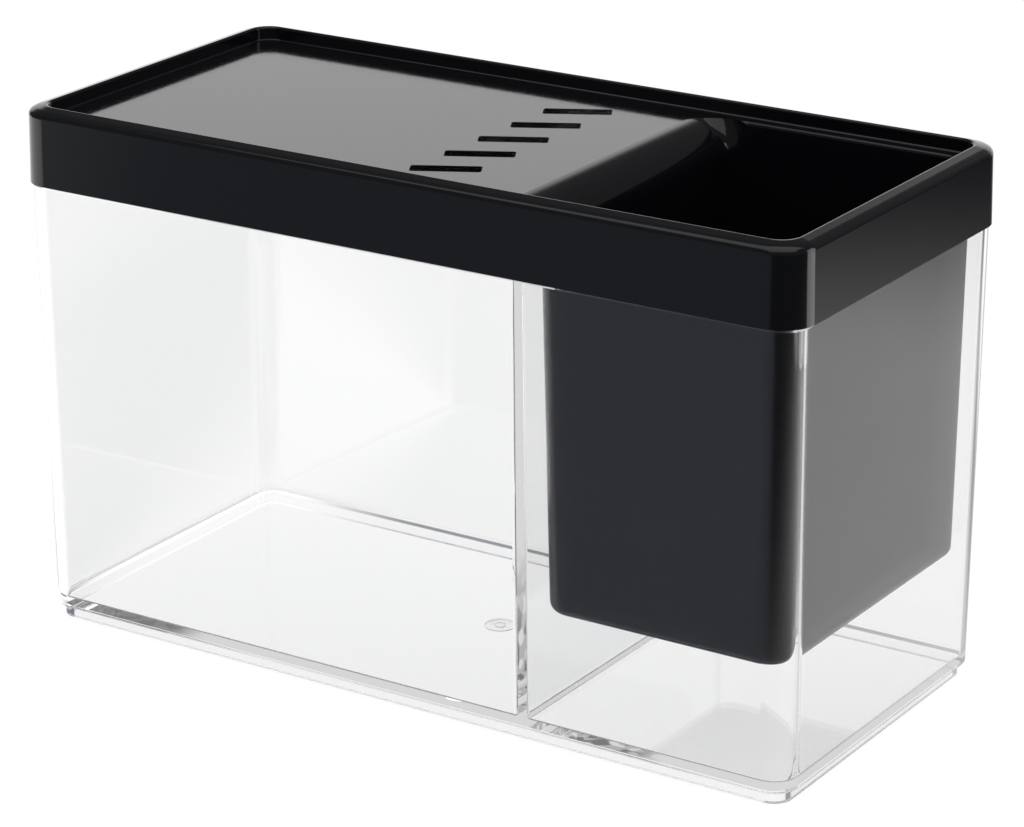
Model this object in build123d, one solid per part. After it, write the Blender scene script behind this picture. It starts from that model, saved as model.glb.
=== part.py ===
from build123d import *
import os
from math import atan, cos, radians, sin, tan

# Small desk aquarium: a clear moulded tank with a dividing wall, and a black lid
# with a sunken deck, five breathing slots and a deep planting tub.
# Millimetres. Origin on the table under the middle of the tank, +Z up,
# +X towards the tub end, -Y towards the front.

# Overall
LID_LENGTH = 240.0
LID_WIDTH = 112.6
OVERALL_HEIGHT = 148.5

# Lid rim
LID_CORNER = 9.5
SKIRT_HEIGHT = 21.3
SKIRT_WALL = 1.8
SKIRT_DRAFT = 0.3
RIM_WIDTH = 5.3
RIM_ROOF_DEPTH = 3.1
RIM_FALL = 1.7
RIM_OUTER_ROUND = 1.5
RIM_BROW_INSET = 1.7
RIM_BROW_FALL = 0.7
RIM_BROW_ROUND = 4.0
RIM_INNER_ROUND = 0.8
RIM_CREST_ROUND = 0.7
RIM_INNER_WALL = 1.5
RECESS_FLOOR_BEVEL = 0.4
RECESS_CORNER = 5.5

# Deck
DECK_DEPTH = 4.0
DECK_WALL = 1.8

# Breathing slots
SLOT_COUNT = 5
SLOT_LENGTH = 18.7
SLOT_WIDTH = 5.5
SLOT_CORNER = 0.8
SLOT_PITCH = 16.1
SLOT_ANGLE = 28.0
SLOT_TO_TUB = 37.5

# Planting tub: its outside, just under the deck, and how much each wall leans in
TUB_WALL = 1.8
TUB_FLOOR = 2.0
TUB_END_MARGIN = 5.8
TUB_SIDE_MARGIN = 6.5
TUB_LENGTH = 72.9
TUB_DEPTH = 107.3
TUB_LEAN_LEFT = 1.9
TUB_LEAN_RIGHT = 1.0
TUB_LEAN_SIDE = 2.0
TUB_CORNER = 7.0
TUB_FOOT_ROUND = 3.0
MOUTH_ROLL = 10.5
MOUTH_ROUND = 1.1

# Tank
TANK_WALL = 2.4
TANK_FLOOR = 2.7
TANK_CORNER = 7.4
TANK_NECK_CORNER = 6.9
TANK_DRAFT_END = 0.9
TANK_DRAFT_SIDE = 2.3
TANK_FOOT_ROUND = 1.0
FLOOR_ROUND = 0.7
SKIRT_OVERHANG = 1.1
SHOULDER_BEVEL = 0.5
LID_SIDE_CLEARANCE = 0.3
LID_SKIRT_CLEARANCE = 0.3

# Foot ring
FOOT_HEIGHT = 3.3
FOOT_INSET = 2.0
FOOT_WIDTH = 2.2

# Dividing wall
DIVIDER_X = 39.2
DIVIDER_TOP_THICKNESS = 2.2
DIVIDER_FOOT_THICKNESS = 2.8
DIVIDER_BELOW_RIM = 9.4
DIVIDER_ROUND = 1.0

# Moulding gate under the floor
GATE_PAD_DIAMETER = 8.8
GATE_PAD_DEPTH = 0.7
GATE_NUB_DIAMETER = 3.0
GATE_NUB_HEIGHT = 0.5

# How far a cut or a joined form runs on past its neighbour
OVERLAP = 1.0
CUT_HEIGHT = 12.0

# How level an edge has to be to count as lying at one height
LEVEL_MARGIN = 0.01

# Heights worked out from the sizes above
SKIRT_FOOT = OVERALL_HEIGHT - SKIRT_HEIGHT
RIM_EDGE_Z = OVERALL_HEIGHT - RIM_FALL
DECK_TOP = OVERALL_HEIGHT - DECK_DEPTH
DECK_UNDER = DECK_TOP - DECK_WALL
RIM_ROOF = OVERALL_HEIGHT - RIM_ROOF_DEPTH
TANK_TOP = RIM_ROOF
SHOULDER_Z = SKIRT_FOOT - LID_SKIRT_CLEARANCE
FLOOR_TOP = FOOT_HEIGHT + TANK_FLOOR
TUB_FOOT = DECK_UNDER - TUB_DEPTH
DIVIDER_TOP = TANK_TOP - DIVIDER_BELOW_RIM

# Plan sizes worked out from the sizes above
SHOULDER_LENGTH = LID_LENGTH - 2 * SKIRT_OVERHANG
SHOULDER_WIDTH = LID_WIDTH - 2 * SKIRT_OVERHANG
BASE_LENGTH = SHOULDER_LENGTH - 2 * TANK_DRAFT_END
BASE_WIDTH = SHOULDER_WIDTH - 2 * TANK_DRAFT_SIDE
NECK_INSET = SKIRT_WALL + LID_SIDE_CLEARANCE
TUB_RIGHT = LID_LENGTH / 2 - TUB_END_MARGIN
TUB_LEFT = TUB_RIGHT - TUB_LENGTH
TUB_HALF = LID_WIDTH / 2 - TUB_SIDE_MARGIN
SLOT_X = TUB_LEFT - SLOT_TO_TUB
ROLL_X = TUB_LEFT + TUB_WALL - MOUTH_ROLL


def slab(left, right, half_width, radius, z):
    """A rounded rectangle lying at height z, even about the long axis."""
    outline = RectangleRounded(right - left, 2 * half_width, radius)
    return Pos((left + right) / 2, 0, z) * outline


def even_slab(length, width, radius, z):
    """A rounded rectangle at height z, centred on the origin."""
    return slab(-length / 2, length / 2, width / 2, radius, z)


def drafted(*slabs):
    """A straight-sided solid through rounded rectangles at rising heights."""
    return loft(list(slabs), ruled=True)


def lid_outline(inset, z):
    """The lid's plan, drawn in by an inset."""
    radius = LID_CORNER - min(inset, LID_CORNER - RECESS_CORNER)
    return even_slab(LID_LENGTH - 2 * inset, LID_WIDTH - 2 * inset, radius, z)


def edges_at(solid, z):
    """The level edges of a solid at one height."""
    return [
        e for e in solid.edges()
        if abs(e.center().Z - z) < LEVEL_MARGIN and e.bounding_box().size.Z < LEVEL_MARGIN
    ]


def rim_block():
    """Skirt and crowned rim as one solid block, rounded along its outer edge and brow."""
    brow_z = OVERALL_HEIGHT - RIM_BROW_FALL
    skirt = drafted(lid_outline(0, SKIRT_FOOT), lid_outline(SKIRT_DRAFT, RIM_EDGE_Z))
    crown = drafted(
        lid_outline(SKIRT_DRAFT, RIM_EDGE_Z),
        lid_outline(RIM_BROW_INSET, brow_z),
        lid_outline(RIM_WIDTH - RIM_INNER_ROUND, OVERALL_HEIGHT),
    )
    block = skirt + crown
    block = fillet(edges_at(block, brow_z), RIM_BROW_ROUND)
    return fillet(edges_at(block, RIM_EDGE_Z), RIM_OUTER_ROUND)


def deck_recess():
    """The sunken space over the deck, bevelled where the deck meets the rim."""
    return drafted(
        lid_outline(RIM_WIDTH + RECESS_FLOOR_BEVEL, DECK_TOP),
        lid_outline(RIM_WIDTH, DECK_TOP + RECESS_FLOOR_BEVEL),
        lid_outline(RIM_WIDTH, DECK_TOP + CUT_HEIGHT),
    )


def under_space():
    """The hollow below the deck, with the channel that takes the tank's edge."""
    space = extrude(lid_outline(SKIRT_WALL, SKIRT_FOOT - OVERLAP), RIM_ROOF - SKIRT_FOOT + OVERLAP)
    core = extrude(lid_outline(RIM_WIDTH - RIM_INNER_WALL, DECK_UNDER), RIM_ROOF)
    return space - core


def slot_cutters():
    """Five parallel slots in a row across the deck."""
    cutters = []
    for number in range(SLOT_COUNT):
        y = (number - (SLOT_COUNT - 1) / 2) * SLOT_PITCH
        place = Pos(SLOT_X, y, DECK_UNDER - OVERLAP) * Rot(0, 0, SLOT_ANGLE)
        outline = RectangleRounded(SLOT_LENGTH, SLOT_WIDTH, SLOT_CORNER)
        cutters.append(extrude(place * outline, DECK_WALL + 2 * OVERLAP))
    return cutters


def tub_length_profile(skin, foot_z, rolled):
    """The tub cut lengthways, drawn in by a skin; its left wall rolls over or runs straight up."""
    lean_left = atan(TUB_LEAN_LEFT / TUB_DEPTH)
    roll = MOUTH_ROLL - TUB_WALL + skin
    roll_z = DECK_TOP - MOUTH_ROLL
    middle = (radians(90) + lean_left) / 2
    high = DECK_TOP + CUT_HEIGHT
    waist = (ROLL_X + roll * cos(middle), roll_z + roll * sin(middle))
    end = (ROLL_X + roll * cos(lean_left), roll_z + roll * sin(lean_left))
    foot_left = (end[0] + (end[1] - foot_z) * tan(lean_left), foot_z)
    foot_right_x = TUB_RIGHT - skin - (DECK_UNDER - foot_z) * TUB_LEAN_RIGHT / TUB_DEPTH
    foot_right = (foot_right_x, foot_z)
    top_right = (TUB_RIGHT - skin, high)
    if rolled:
        top_left = (ROLL_X, high)
        start = (ROLL_X, roll_z + roll)
        left_side = [Line(top_left, start), ThreePointArc(start, waist, end)]
    else:
        top_left = (end[0] - (high - end[1]) * tan(lean_left), high)
        left_side = [Line(top_left, end)]
    rest = Polyline(end, foot_left, foot_right, top_right, top_left)
    return Plane.XZ * make_face([*left_side, rest])


def tub_cross_profile(skin, foot_z):
    """The tub cut across, drawn in by a skin."""
    top = TUB_HALF - skin
    foot = top - (DECK_UNDER - foot_z) * TUB_LEAN_SIDE / TUB_DEPTH
    high = DECK_TOP + CUT_HEIGHT
    outline = Polyline((-foot, foot_z), (foot, foot_z), (top, high), (-top, high), close=True)
    return Plane.YZ * make_face(outline)


def tub_form(skin, floor, corner, foot_round, rolled=True):
    """The tub as a solid: its outside, or with the wall and floor taken off, its cavity."""
    foot_z = TUB_FOOT + floor
    along = extrude(tub_length_profile(skin, foot_z, rolled), LID_WIDTH / 2, both=True)
    across = extrude(tub_cross_profile(skin, foot_z), LID_LENGTH / 2)
    form = along & across
    upright = [
        e for e in form.edges()
        if e.bounding_box().size.Z > corner / 2 and e.center().X > ROLL_X + OVERLAP
    ]
    form = fillet(upright, corner)
    return fillet(form.edges().group_by(Axis.Z)[0], foot_round)


def tub_outside():
    """The tub's outer form, as far up as the middle of the deck."""
    form = tub_form(0, 0, TUB_CORNER, TUB_FOOT_ROUND)
    return split(form, Plane.XY.offset(DECK_TOP - DECK_WALL / 2), keep=Keep.BOTTOM)


def tub_cavity(rolled):
    """The space inside the tub, with the deck rolling over into it at the left or not yet."""
    corner = TUB_CORNER - TUB_WALL
    return tub_form(TUB_WALL, TUB_FLOOR, corner, TUB_FOOT_ROUND - TUB_WALL, rolled)


def mouth_edges(body):
    """The edges of the tub's mouth in the deck's upper face."""
    return [
        e for e in edges_at(body, DECK_TOP)
        if e.center().X > ROLL_X and abs(e.center().Y) < TUB_HALF - TUB_WALL / 2
    ]


def lid():
    """Rim, sunken deck, slots and planting tub in one moulding."""
    frame = rim_block() - deck_recess()
    crest = frame.faces().sort_by(Axis.Z)[-1]
    frame = fillet(crest.inner_wires()[0].edges(), RIM_CREST_ROUND)
    frame = frame - under_space() - slot_cutters()
    body = frame + tub_outside() - tub_cavity(rolled=False)
    body = fillet(mouth_edges(body), MOUTH_ROUND)
    return body - tub_cavity(rolled=True)


def compartment(left_base, right_base, left_top, right_top, left_round, right_round):
    """One compartment's space, drafted, with its floor edge rounded."""
    def outline(left, right, half_width, z):
        flat = Rectangle(right - left, 2 * half_width)
        ends = flat.vertices().group_by(Axis.X)
        flat = fillet(ends[0], left_round)
        ends = flat.vertices().group_by(Axis.X)
        flat = fillet(ends[-1], right_round)
        return Pos((left + right) / 2, 0, z) * flat

    base = outline(left_base, right_base, BASE_WIDTH / 2 - TANK_WALL, FLOOR_TOP)
    top = outline(left_top, right_top, SHOULDER_WIDTH / 2 - TANK_WALL, TANK_TOP + OVERLAP)
    space = drafted(base, top)
    return fillet(space.edges().group_by(Axis.Z)[0], FLOOR_ROUND)


def tank_outside():
    """The tank's outer walls: drafted below the shoulder, straight inside the lid."""
    wall = drafted(
        even_slab(BASE_LENGTH, BASE_WIDTH, TANK_CORNER, FOOT_HEIGHT),
        even_slab(SHOULDER_LENGTH, SHOULDER_WIDTH, TANK_CORNER, SHOULDER_Z - SHOULDER_BEVEL),
        even_slab(
            SHOULDER_LENGTH - 2 * SHOULDER_BEVEL, SHOULDER_WIDTH - 2 * SHOULDER_BEVEL,
            TANK_CORNER - SHOULDER_BEVEL, SHOULDER_Z,
        ),
    )
    wall = fillet(wall.edges().group_by(Axis.Z)[0], TANK_FOOT_ROUND)
    neck_length = LID_LENGTH - 2 * NECK_INSET
    neck_width = LID_WIDTH - 2 * NECK_INSET
    neck_foot = even_slab(neck_length, neck_width, TANK_NECK_CORNER, SHOULDER_Z - OVERLAP)
    return wall + extrude(neck_foot, TANK_TOP - SHOULDER_Z + OVERLAP)


def foot_ring():
    """The narrow ring that the tank stands on, set in from the walls."""
    length = BASE_LENGTH - 2 * FOOT_INSET
    width = BASE_WIDTH - 2 * FOOT_INSET
    radius = TANK_CORNER - FOOT_INSET
    outer = even_slab(length, width, radius, 0)
    inner = even_slab(length - 2 * FOOT_WIDTH, width - 2 * FOOT_WIDTH, radius - FOOT_WIDTH, 0)
    return extrude(outer - inner, FOOT_HEIGHT + OVERLAP)


def gate_mark():
    """A shallow round pad with a trimmed nub, left by the moulding gate."""
    pad = extrude(Pos(0, 0, FOOT_HEIGHT) * Circle(GATE_PAD_DIAMETER / 2), GATE_PAD_DEPTH)
    nub_z = FOOT_HEIGHT + GATE_PAD_DEPTH - GATE_NUB_HEIGHT
    nub = extrude(Pos(0, 0, nub_z) * Circle(GATE_NUB_DIAMETER / 2), GATE_NUB_HEIGHT)
    return pad - nub


def tank():
    """Walls, floor, foot ring and dividing wall in one clear moulding."""
    half_foot = DIVIDER_FOOT_THICKNESS / 2
    half_top = DIVIDER_TOP_THICKNESS / 2
    base_end = BASE_LENGTH / 2 - TANK_WALL
    top_end = SHOULDER_LENGTH / 2 - TANK_WALL
    inner_corner = TANK_CORNER - TANK_WALL
    fish_side = compartment(
        -base_end, DIVIDER_X - half_foot, -top_end, DIVIDER_X - half_top,
        inner_corner, DIVIDER_ROUND,
    )
    tub_side = compartment(
        DIVIDER_X + half_foot, base_end, DIVIDER_X + half_top, top_end,
        DIVIDER_ROUND, inner_corner,
    )
    top_width = SHOULDER_WIDTH - 2 * TANK_WALL
    over_divider = extrude(even_slab(2 * top_end, top_width, inner_corner, DIVIDER_TOP), TANK_TOP)
    shell = tank_outside() + foot_ring()
    return shell - fish_side - tub_side - over_divider - gate_mark()


os.makedirs("parts", exist_ok=True)
export_step(tank(), "parts/tank.step")
export_step(lid(), "parts/lid.step")
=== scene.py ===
"""A small desk aquarium: a clear moulded tank, and a glossy black lid with a sunken deck and a deep tub."""

from math import cos, radians, sin

import bpy
from mathutils import Matrix, Vector

# The photograph's viewpoint, in degrees and metres, with the lens in millimetres
CAMERA_AZIMUTH = 33.563
CAMERA_ELEVATION = 19.04
CAMERA_ROLL = -0.379
CAMERA_PLACE = (0.53909, -0.833746, 0.428243)
CAMERA_SENSOR = 36.0
CAMERA_LENS = 137.08
CAMERA_SHIFT = (0.0524, -0.0639)
CAMERA_REACH = (0.01, 100)

# The white table as the eye sees it, with a faint shadow
TABLE_SIZE = 3.2
TABLE_COLOUR = (0.8, 0.8, 0.8, 1)
TABLE_WHITE = 0.93
TABLE_SHADOW_SHARE = (0.16, 0.16, 0.16, 1)

# The table as the plastics mirror it, painted as glows: a painted pool of light beside the tub end, a dim
# cool front and a bright left
TABLE_PAINTED_POOL = (0.24, 0.15, 0.0)
TABLE_PAINTED_POOL_EDGE = (0.47, 0.10)
TABLE_PAINTED_POOL_STRENGTH = 0.65
TABLE_PAINTED_FAR_STRENGTH = 0.04
TABLE_PAINTED_FRONT_STRENGTH = 0.2
TABLE_PAINTED_FRONT_COLOUR = (0.95, 1.0, 1.15, 1)
TABLE_FRONT_EDGE = (0.14, 0.04)
TABLE_PAINTED_LEFT_STRENGTH = 1.3
TABLE_LEFT_FROM = (-0.12, -0.056, 0.0)
TABLE_LEFT_TOWARDS = (-0.86, 0.51, 0.0)
TABLE_LEFT_EDGE = (0.02, 0.5)

# The room, as strengths of Blender's own light grey: what the eye sees past the table, the backdrop that the
# plastics mirror behind and to the left, the rest of what they mirror, and the soft light on the object
BACKDROP_WHITE = 1.0
BACKDROP_STRENGTH = 1.5
BACKDROP_TOP = (0.52, 0.34)
BACKDROP_TOWARDS = (-0.45, 0.893, 0.0)
BACKDROP_SIDE = (0.60, 0.85)
ROOM_STRENGTH = 0.14
SOFT_LIGHT = 0.5

# Softboxes: place, aim, width and height in metres, and power in watts
OVERHEAD_SOFTBOX = ((0.2, -0.3, 1.6), (0, 0, 0.1), (2.2, 2.2), 11)
SIDE_SOFTBOX = ((0.37, 0.13, 0.14), (0.115, -0.047, 0.12), (0.16, 0.28), 0.25)

# Reflections that a ray has behind it, set halfway between two counts
ONE_REFLECTION = 0.5
TWO_REFLECTIONS = 1.5
TRAPPED_BOUNCES = 3.5

# Both plastics
STYRENE_IOR = 1.53
WAVE_DETAIL = 1.0
SCUFF_DETAIL = 4.0
SCUFF_SPREAD = (0.45, 0.8)

# Black plastic
BLACK = (0.005, 0.0055, 0.0072, 1)
BLACK_ROUGHNESS = (0.09, 0.14)
BLACK_WAVE_SIZE = 24.0
BLACK_WAVE_STRENGTH = 0.06
BLACK_WAVE_DEPTH = 0.0006
BLACK_SCUFF_SIZE = 600.0

# Clear plastic, and the frosted gate mark under the middle of the tank
CLEAR_TINT = (0.997, 0.998, 0.998, 1)
CLEAR_ROUGHNESS = 0.0
CLEAR_WAVE_SIZE = 18.0
CLEAR_WAVE_STRENGTH = 0.01
CLEAR_WAVE_DEPTH = 0.0004
CLEAR_SCUFF_SIZE = 900.0
GATE_PLACE = (0, 0, 0.0035)
GATE_REACH = (0.0046, 0.0038)
GATE_ROUGHNESS = 0.35
GATE_FROST = (0.4, 1.0)

# Painted glow for light trapped in the clear plastic, with painted shade as dark streaks low down at the left
# end and beside the divider
PAINTED_TRAPPED_GLOW = 0.35
PAINTED_STREAK_SHADE = 0.1
SHADE_STREAK_SIZE = 190.0
SHADE_STREAK_DETAIL = 0.0
SHADE_STREAK_EDGE = (0.42, 0.52)
SHADE_STREAK_HEIGHT = (0.05, 0.012)
SHADE_STREAKS_AT_END = (-0.084, -0.096)
PAINTED_END_SHADE = 0.8
SHADE_STREAKS_FROM_DIVIDER = (0.034, 0.038)
SHADE_STREAKS_STOP = (0.068, 0.056)


def empty_tree(owner):
    """The node tree of a material or a world, emptied."""
    owner.use_nodes = True
    owner.node_tree.nodes.clear()
    return owner.node_tree


def calculate(tree, operation, first, second):
    """One sum on two values, where the second may be a plain number."""
    node = tree.nodes.new("ShaderNodeMath")
    node.operation = operation
    tree.links.new(first, node.inputs[0])
    if isinstance(second, float):
        node.inputs[1].default_value = second
    else:
        tree.links.new(second, node.inputs[1])
    return node.outputs["Value"]


def product(tree, first, second):
    """Two values multiplied."""
    return calculate(tree, "MULTIPLY", first, second)


def strongest(tree, first, second):
    """The larger of two values."""
    return calculate(tree, "MAXIMUM", first, second)


def over(tree, value, limit):
    """1 where a value is over a limit, otherwise 0."""
    return calculate(tree, "GREATER_THAN", value, limit)


def between(tree, share, low, high):
    """A value that goes from low to high with a share."""
    node = tree.nodes.new("ShaderNodeMapRange")
    node.inputs["To Min"].default_value = low
    node.inputs["To Max"].default_value = high
    tree.links.new(share, node.inputs["Value"])
    return node.outputs["Result"]


def ramp(tree, value, edge):
    """A smooth step from 0 to 1 across an edge, which is two values."""
    node = tree.nodes.new("ShaderNodeMapRange")
    node.interpolation_type = "SMOOTHSTEP"
    node.inputs["From Min"].default_value = edge[0]
    node.inputs["From Max"].default_value = edge[1]
    tree.links.new(value, node.inputs["Value"])
    return node.outputs["Result"]


def measure(tree, operation, vector, fixed):
    """The outputs of one vector sum with a fixed second vector."""
    node = tree.nodes.new("ShaderNodeVectorMath")
    node.operation = operation
    tree.links.new(vector, node.inputs[0])
    node.inputs[1].default_value = fixed
    return node.outputs


def split(tree, vector):
    """The X, Y and Z of a vector."""
    node = tree.nodes.new("ShaderNodeSeparateXYZ")
    tree.links.new(vector, node.inputs["Vector"])
    return node.outputs


def noise(tree, place, size, detail):
    """Soft random marks of a size and detail."""
    node = tree.nodes.new("ShaderNodeTexNoise")
    node.inputs["Detail"].default_value = detail
    tree.links.new(place, node.inputs["Vector"])
    if isinstance(size, float):
        node.inputs["Scale"].default_value = size
    else:
        tree.links.new(size, node.inputs["Scale"])
    return node.outputs["Fac"]


def waviness(tree, height, strength, depth):
    """A normal that follows a faint height."""
    node = tree.nodes.new("ShaderNodeBump")
    node.inputs["Strength"].default_value = strength
    node.inputs["Distance"].default_value = depth
    tree.links.new(height, node.inputs["Height"])
    return node.outputs["Normal"]


def choose(tree, share, first, second):
    """A shader that is the first where a share is 0 and the second where it is 1."""
    node = tree.nodes.new("ShaderNodeMixShader")
    tree.links.new(share, node.inputs["Fac"])
    tree.links.new(first, node.inputs[1])
    tree.links.new(second, node.inputs[2])
    return node.outputs["Shader"]


def by_ray(tree, lighting, mirrored, seen):
    """One look to light the object, one for what it mirrors, one for the eye and through clear plastic."""
    path = tree.nodes.new("ShaderNodeLightPath")
    reflected = path.outputs["Glossy Depth"]
    passing = path.outputs["Is Transmission Ray"]
    direct = strongest(tree, path.outputs["Is Camera Ray"], passing)
    guided = product(tree, over(tree, reflected, TWO_REFLECTIONS), passing)
    reflections = product(tree, over(tree, reflected, ONE_REFLECTION), between(tree, guided, 1.0, 0.0))
    return choose(tree, reflections, choose(tree, direct, lighting, seen), mirrored)


def make_moulded_surface():
    """Faint waviness and fine scuffs of a polished moulding, as a height and a mask."""
    group = bpy.data.node_groups.new("moulded surface", "ShaderNodeTree")
    for side, names in (("INPUT", ("Wave Size", "Scuff Size")), ("OUTPUT", ("Height", "Scuffs"))):
        for name in names:
            group.interface.new_socket(name=name, in_out=side, socket_type="NodeSocketFloat")
    inputs = group.nodes.new("NodeGroupInput")
    outputs = group.nodes.new("NodeGroupOutput")
    place = group.nodes.new("ShaderNodeTexCoord").outputs["Object"]
    wave = noise(group, place, inputs.outputs["Wave Size"], WAVE_DETAIL)
    scuff = noise(group, place, inputs.outputs["Scuff Size"], SCUFF_DETAIL)
    sparse = group.nodes.new("ShaderNodeMapRange")
    sparse.inputs["From Min"].default_value = SCUFF_SPREAD[0]
    sparse.inputs["From Max"].default_value = SCUFF_SPREAD[1]
    group.links.new(scuff, sparse.inputs["Value"])
    group.links.new(wave, outputs.inputs["Height"])
    group.links.new(sparse.outputs["Result"], outputs.inputs["Scuffs"])
    return group


def place_surface(tree, surface, wave_size, scuff_size):
    """The moulded surface in a material, with its own sizes."""
    node = tree.nodes.new("ShaderNodeGroup")
    node.node_tree = surface
    node.inputs["Wave Size"].default_value = wave_size
    node.inputs["Scuff Size"].default_value = scuff_size
    return node.outputs


def make_black_plastic(surface):
    """Glossy black plastic with faint waviness and a trace of scuffing."""
    material = bpy.data.materials.new("black moulded plastic")
    tree = empty_tree(material)
    output = tree.nodes.new("ShaderNodeOutputMaterial")
    shader = tree.nodes.new("ShaderNodeBsdfPrincipled")
    detail = place_surface(tree, surface, BLACK_WAVE_SIZE, BLACK_SCUFF_SIZE)
    roughness = between(tree, detail["Scuffs"], BLACK_ROUGHNESS[0], BLACK_ROUGHNESS[1])
    normal = waviness(tree, detail["Height"], BLACK_WAVE_STRENGTH, BLACK_WAVE_DEPTH)
    shader.inputs["Base Color"].default_value = BLACK
    shader.inputs["IOR"].default_value = STYRENE_IOR
    tree.links.new(roughness, shader.inputs["Roughness"])
    tree.links.new(normal, shader.inputs["Normal"])
    tree.links.new(shader.outputs["BSDF"], output.inputs["Surface"])
    return material


def add_frosting(tree, place, scuffs):
    """Roughness that is polished everywhere but at the gate mark."""
    from_gate = measure(tree, "DISTANCE", place, GATE_PLACE)["Value"]
    frost = between(tree, scuffs, GATE_FROST[0], GATE_FROST[1])
    frosted = product(tree, ramp(tree, from_gate, GATE_REACH), frost)
    return between(tree, frosted, CLEAR_ROUGHNESS, GATE_ROUGHNESS)


def add_painted_trapped_glow(tree, place):
    """A painted grey glow for rays that stay in the plastic, with painted shade darkening it in marks low
    down along the foot of the tank.
    """
    path = tree.nodes.new("ShaderNodeLightPath")
    trapped = over(tree, path.outputs["Glossy Depth"], TRAPPED_BOUNCES)
    along = split(tree, place)
    # painted shade: dark streaks placed by position low down at the left end and beside the divider
    streak_pattern = ramp(tree, noise(tree, place, SHADE_STREAK_SIZE, SHADE_STREAK_DETAIL), SHADE_STREAK_EDGE)
    at_end = ramp(tree, along["X"], SHADE_STREAKS_AT_END)
    end_shade = product(tree, at_end, between(tree, streak_pattern, PAINTED_END_SHADE, 1.0))
    past_divider = ramp(tree, along["X"], SHADE_STREAKS_FROM_DIVIDER)
    beside_divider = product(tree, past_divider, ramp(tree, along["X"], SHADE_STREAKS_STOP))
    divider_shade = product(tree, streak_pattern, beside_divider)
    low = ramp(tree, along["Z"], SHADE_STREAK_HEIGHT)
    streaks = product(tree, low, strongest(tree, end_shade, divider_shade))
    return product(tree, trapped, between(tree, streaks, PAINTED_TRAPPED_GLOW, PAINTED_STREAK_SHADE))


def make_clear_plastic(surface):
    """Clear polished plastic, faintly wavy, with a frosted gate mark and a painted glow for light trapped in
    it.
    """
    material = bpy.data.materials.new("clear moulded plastic")
    tree = empty_tree(material)
    output = tree.nodes.new("ShaderNodeOutputMaterial")
    shader = tree.nodes.new("ShaderNodeBsdfPrincipled")
    detail = place_surface(tree, surface, CLEAR_WAVE_SIZE, CLEAR_SCUFF_SIZE)
    place = tree.nodes.new("ShaderNodeTexCoord").outputs["Object"]
    roughness = add_frosting(tree, place, detail["Scuffs"])
    normal = waviness(tree, detail["Height"], CLEAR_WAVE_STRENGTH, CLEAR_WAVE_DEPTH)
    shader.inputs["Base Color"].default_value = CLEAR_TINT
    shader.inputs["Transmission Weight"].default_value = 1.0
    shader.inputs["IOR"].default_value = STYRENE_IOR
    # painted glow: emission stands in for light trapped in the plastic, darkened by painted shade streaks
    shader.inputs["Emission Strength"].default_value = 1.0
    tree.links.new(add_painted_trapped_glow(tree, place), shader.inputs["Emission Color"])
    tree.links.new(roughness, shader.inputs["Roughness"])
    tree.links.new(normal, shader.inputs["Normal"])
    tree.links.new(shader.outputs["BSDF"], output.inputs["Surface"])
    return material


def dress(node, material):
    """Gives a CAD node its finished material."""
    node.data.materials.clear()
    node.data.materials.append(material)


def add_background(tree, strength):
    """A background shader of a strength, in Blender's own light grey."""
    node = tree.nodes.new("ShaderNodeBackground")
    node.inputs["Strength"].default_value = strength
    return node.outputs["Background"]


def make_room():
    """The world: pale for the eye, with a bright backdrop in reflections and soft light on the object."""
    world = bpy.data.worlds.new("studio surround")
    bpy.context.scene.world = world
    tree = empty_tree(world)
    output = tree.nodes.new("ShaderNodeOutputWorld")
    mirrored = tree.nodes.new("ShaderNodeBackground")
    direction = tree.nodes.new("ShaderNodeTexCoord").outputs["Generated"]
    low = ramp(tree, split(tree, direction)["Z"], BACKDROP_TOP)
    behind = ramp(tree, measure(tree, "DOT_PRODUCT", direction, BACKDROP_TOWARDS)["Value"], BACKDROP_SIDE)
    strength = between(tree, product(tree, low, behind), ROOM_STRENGTH, BACKDROP_STRENGTH)
    tree.links.new(strength, mirrored.inputs["Strength"])
    lighting = add_background(tree, SOFT_LIGHT)
    seen = add_background(tree, BACKDROP_WHITE)
    tree.links.new(by_ray(tree, lighting, mirrored.outputs["Background"], seen), output.inputs["Surface"])


def add_glow(tree, strength, colour=(1, 1, 1, 1)):
    """A light-giving shader of a plain strength and colour."""
    node = tree.nodes.new("ShaderNodeEmission")
    node.inputs["Strength"].default_value = strength
    node.inputs["Color"].default_value = colour
    return node.outputs["Emission"]


def add_diffuse(tree, colour):
    """A matt shader of a plain colour."""
    node = tree.nodes.new("ShaderNodeBsdfDiffuse")
    node.inputs["Color"].default_value = colour
    return node.outputs["BSDF"]


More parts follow.
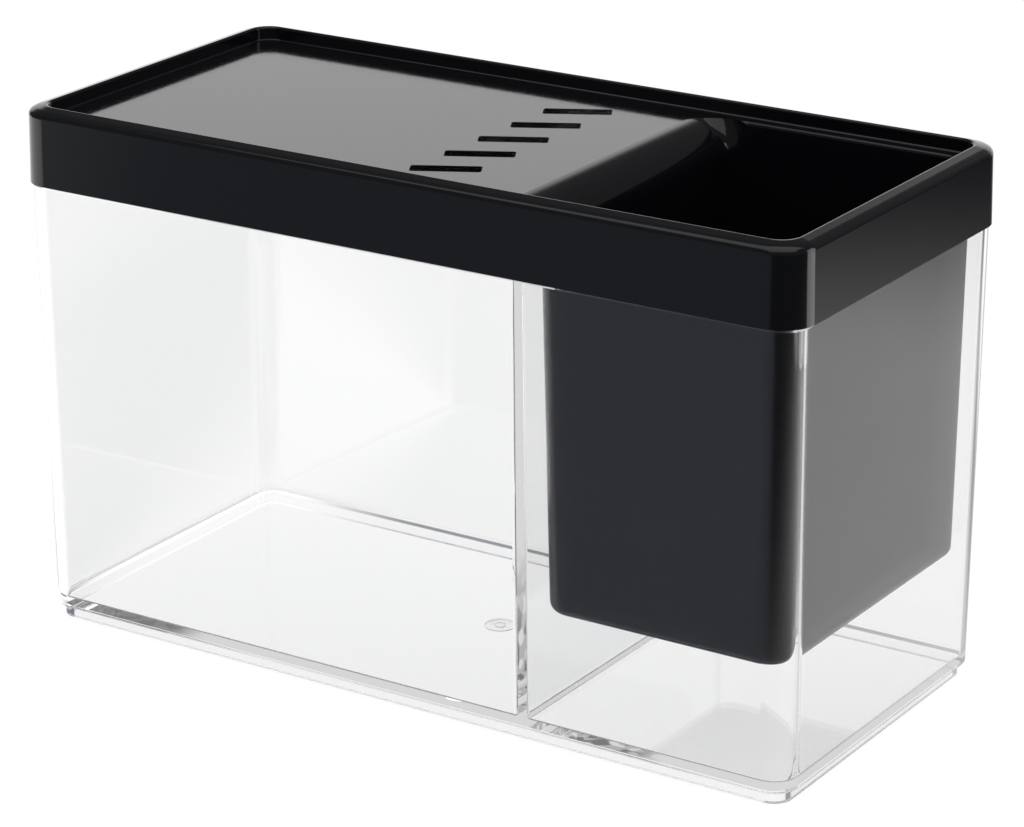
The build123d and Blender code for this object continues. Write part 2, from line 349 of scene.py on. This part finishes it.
def add_painted_table_reflection(tree):
    """Painted reflections of the table for the plastics: glows for a pool of light, a dim front and a bright
    left.
    """
    place = tree.nodes.new("ShaderNodeTexCoord").outputs["Object"]
    pool = ramp(tree, measure(tree, "DISTANCE", place, TABLE_PAINTED_POOL)["Value"], TABLE_PAINTED_POOL_EDGE)
    strength = between(tree, product(tree, pool, pool), TABLE_PAINTED_FAR_STRENGTH, TABLE_PAINTED_POOL_STRENGTH)
    # painted pool of light: a glow on the table that only reflections see
    painted_pool_glow = tree.nodes.new("ShaderNodeEmission")
    tree.links.new(strength, painted_pool_glow.inputs["Strength"])
    # painted dim front and painted bright left: glows seen only in reflections
    painted_front_glow = add_glow(tree, TABLE_PAINTED_FRONT_STRENGTH, TABLE_PAINTED_FRONT_COLOUR)
    front = ramp(tree, split(tree, place)["X"], TABLE_FRONT_EDGE)
    mirrored = choose(tree, front, painted_pool_glow.outputs["Emission"], painted_front_glow)
    heading = tree.nodes.new("ShaderNodeVectorMath")
    heading.operation = "NORMALIZE"
    tree.links.new(measure(tree, "SUBTRACT", place, TABLE_LEFT_FROM)["Vector"], heading.inputs[0])
    leftwards = measure(tree, "DOT_PRODUCT", heading.outputs["Vector"], TABLE_LEFT_TOWARDS)["Value"]
    return choose(tree, ramp(tree, leftwards, TABLE_LEFT_EDGE), mirrored, add_glow(tree, TABLE_PAINTED_LEFT_STRENGTH))


def make_table():
    """A white table: near white with a faint shadow for the eye, and painted glows of light from two sides in
    reflections.
    """
    bpy.ops.object.select_all(action="DESELECT")
    bpy.ops.mesh.primitive_plane_add(size=TABLE_SIZE)
    table = bpy.context.object
    table.name = "table"
    material = bpy.data.materials.new("studio table")
    tree = empty_tree(material)
    output = tree.nodes.new("ShaderNodeOutputMaterial")
    eye = tree.nodes.new("ShaderNodeAddShader")
    tree.links.new(add_diffuse(tree, TABLE_SHADOW_SHARE), eye.inputs[0])
    tree.links.new(add_glow(tree, TABLE_WHITE), eye.inputs[1])
    lighting = add_diffuse(tree, TABLE_COLOUR)
    shown = by_ray(tree, lighting, add_painted_table_reflection(tree), eye.outputs["Shader"])
    tree.links.new(shown, output.inputs["Surface"])
    table.data.materials.append(material)


def add_softbox(name, place, aim, size, power):
    """A rectangular soft light aimed at a point."""
    lamp = bpy.data.lights.new(name, "AREA")
    lamp.shape = "RECTANGLE"
    lamp.size = size[0]
    lamp.size_y = size[1]
    lamp.energy = power
    holder = bpy.data.objects.new(name, lamp)
    bpy.context.scene.collection.objects.link(holder)
    holder.location = place
    holder.rotation_mode = "QUATERNION"
    holder.rotation_quaternion = (Vector(aim) - Vector(place)).to_track_quat("-Z", "Y")


def add_camera():
    """The photograph's camera: its direction, roll, place, lens and framing."""
    azimuth = radians(CAMERA_AZIMUTH)
    elevation = radians(CAMERA_ELEVATION)
    roll = radians(CAMERA_ROLL)
    back = Vector((sin(azimuth) * cos(elevation), -cos(azimuth) * cos(elevation), sin(elevation)))
    level = Vector((0, 0, 1)).cross(back).normalized()
    upright = back.cross(level)
    across = cos(roll) * level + sin(roll) * upright
    up = cos(roll) * upright - sin(roll) * level
    turn = Matrix((across, up, back)).transposed()
    lens = bpy.data.cameras.new("camera")
    lens.sensor_width = CAMERA_SENSOR
    lens.lens = CAMERA_LENS
    lens.shift_x = CAMERA_SHIFT[0]
    lens.shift_y = CAMERA_SHIFT[1]
    lens.clip_start = CAMERA_REACH[0]
    lens.clip_end = CAMERA_REACH[1]
    holder = bpy.data.objects.new("camera", lens)
    bpy.context.scene.collection.objects.link(holder)
    holder.matrix_world = Matrix.Translation(CAMERA_PLACE) @ turn.to_4x4()
    bpy.context.scene.camera = holder


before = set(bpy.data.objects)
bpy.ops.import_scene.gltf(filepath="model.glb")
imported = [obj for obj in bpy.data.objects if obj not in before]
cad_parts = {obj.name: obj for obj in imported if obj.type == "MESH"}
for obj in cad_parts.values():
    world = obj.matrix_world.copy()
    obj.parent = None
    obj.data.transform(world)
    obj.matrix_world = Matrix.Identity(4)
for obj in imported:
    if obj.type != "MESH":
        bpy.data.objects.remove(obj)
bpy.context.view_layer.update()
bpy.context.scene.view_settings.view_transform = "Standard"

moulded_surface = make_moulded_surface()
dress(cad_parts["tank"], make_clear_plastic(moulded_surface))
dress(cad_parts["lid"], make_black_plastic(moulded_surface))

make_room()
make_table()
add_softbox("overhead softbox", *OVERHEAD_SOFTBOX)
add_softbox("side softbox", *SIDE_SOFTBOX)
add_camera()
